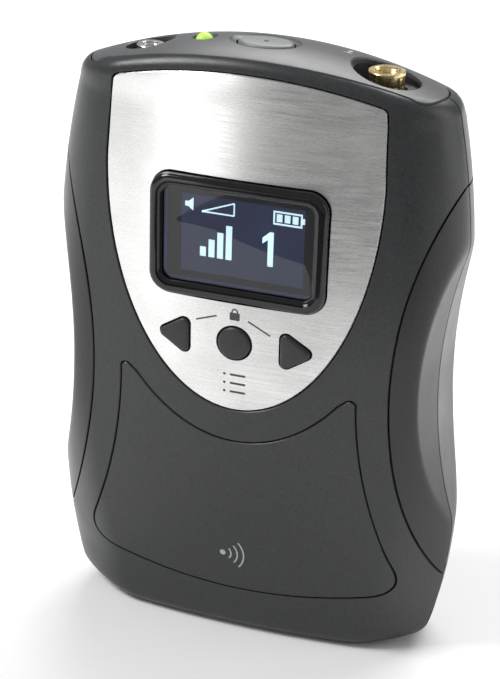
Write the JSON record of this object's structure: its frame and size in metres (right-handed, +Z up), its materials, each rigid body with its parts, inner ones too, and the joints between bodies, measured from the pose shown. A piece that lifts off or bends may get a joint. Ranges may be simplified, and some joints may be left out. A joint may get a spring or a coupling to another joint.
{
  "type": "wireless bodypack transmitter",
  "caption": "Pocket radio pack with a waisted black case, brushed shield face plate, small display, front keys, top sockets, rear battery door and sprung belt clip.",
  "frame": {"origin": "centre of the flat foot that the pack stands on", "axes": "+Z up the pack from foot to sockets, -Y out of the display face, +X to the right in a front view"},
  "size_m": [0.0614, 0.0301, 0.0911],
  "materials": {
    "case_plastic": "fine spark-eroded charcoal plastic",
    "grip_plastic": "fine spark-eroded charcoal plastic",
    "cap_plastic": "satin dark grey plastic",
    "brushed_plate": "brushed across the width, with a bright cut edge",
    "bezel_gloss": "polished black",
    "display_glass": "clear hard-coated window",
    "display_panel": "dark blue lit panel",
    "key_plastic": "fine matt black",
    "power_key": "satin light grey",
    "led_green": "diffused yellow-green",
    "gold_plate": "gold plated, turned",
    "nickel_plate": "nickel plated",
    "circuit_board": "green solder mask",
    "silicone": "soft matt grey",
    "moulded_black": "moulded black",
    "cell_wrap": "printed metallic wrap, unmarked",
    "spring_steel": "bright drawn",
    "screw_black": "black zinc",
    "coated_steel": "black powder coat on spring steel"
  },
  "bodies": {
    "root": {"front_shell": "case_plastic", "back_shell": "case_plastic", "label_panel": "case_plastic", "right_grip": "grip_plastic", "left_grip": "grip_plastic", "top_cap": "cap_plastic", "face_plate": "brushed_plate", "display_bezel": "bezel_gloss", "display_lens": "display_glass", "display_module": "display_panel", "keypad_mat": "silicone", "switch_left": "nickel_plate", "switch_centre": "nickel_plate", "switch_right": "nickel_plate", "power_switch": "nickel_plate", "led_lens": "led_green", "led_body": "moulded_black", "mic_jack_nose": "gold_plate", "mic_jack_body": "moulded_black", "line_jack_nose": "nickel_plate", "line_jack_body": "moulded_black", "main_board": "circuit_board", "switch_board": "circuit_board", "rf_shield_can": "nickel_plate", "processor_chip": "moulded_black", "crystal_can": "nickel_plate", "lower_cell_spring": "spring_steel", "upper_cell_spring": "spring_steel", "cell_left": "cell_wrap", "cell_right": "cell_wrap", "upper_contact_plate": "nickel_plate", "lower_contact_plate": "nickel_plate", "case_screw_upper_left": "screw_black", "case_screw_upper_right": "screw_black", "case_screw_lower_left": "screw_black", "case_screw_lower_right": "screw_black", "door_hinge_pin": "spring_steel"},
    "left_key": {"button_left": "key_plastic"},
    "centre_key": {"button_round": "key_plastic"},
    "right_key": {"button_right": "key_plastic"},
    "power_key": {"power_button": "power_key"},
    "door": {"battery_door": "case_plastic", "clip_bracket": "spring_steel", "clip_pin": "spring_steel", "clip_spring": "spring_steel"},
    "latch": {"door_latch": "moulded_black"},
    "clip": {"belt_clip": "coated_steel"}
  },
  "joints": [
    {"name": "left_key_press", "type": "slide", "parent": "root", "child": "left_key", "axis": [0, 1, 0], "range_m": [0, 0.0004], "stiffness_N_per_m": 400, "springref_m": -0.0003},
    {"name": "centre_key_press", "type": "slide", "parent": "root", "child": "centre_key", "axis": [0, 1, 0], "range_m": [0, 0.0004], "stiffness_N_per_m": 400, "springref_m": -0.0003},
    {"name": "right_key_press", "type": "slide", "parent": "root", "child": "right_key", "axis": [0, 1, 0], "range_m": [0, 0.0004], "stiffness_N_per_m": 400, "springref_m": -0.0003},
    {"name": "power_press", "type": "slide", "parent": "root", "child": "power_key", "axis": [0, 0, -1], "range_m": [0, 0.0006], "stiffness_N_per_m": 400, "springref_m": -0.0003},
    {"name": "door_hinge", "type": "hinge", "parent": "root", "child": "door", "pos_m": [0, 0.0079, 0.0152], "axis": [-1, 0, 0], "range_deg": [0, 90]},
    {"name": "latch_slide", "type": "slide", "parent": "door", "child": "latch", "axis": [0, 0, -1], "range_m": [0, 0.002], "stiffness_N_per_m": 150, "springref_m": -0.001},
    {"name": "clip_hinge", "type": "hinge", "parent": "door", "child": "clip", "pos_m": [0, 0.0125, 0.0578], "axis": [1, 0, 0], "range_deg": [0, 18], "stiffness_Nm_per_rad": 0.6, "springref_deg": -5.73}
  ]
}
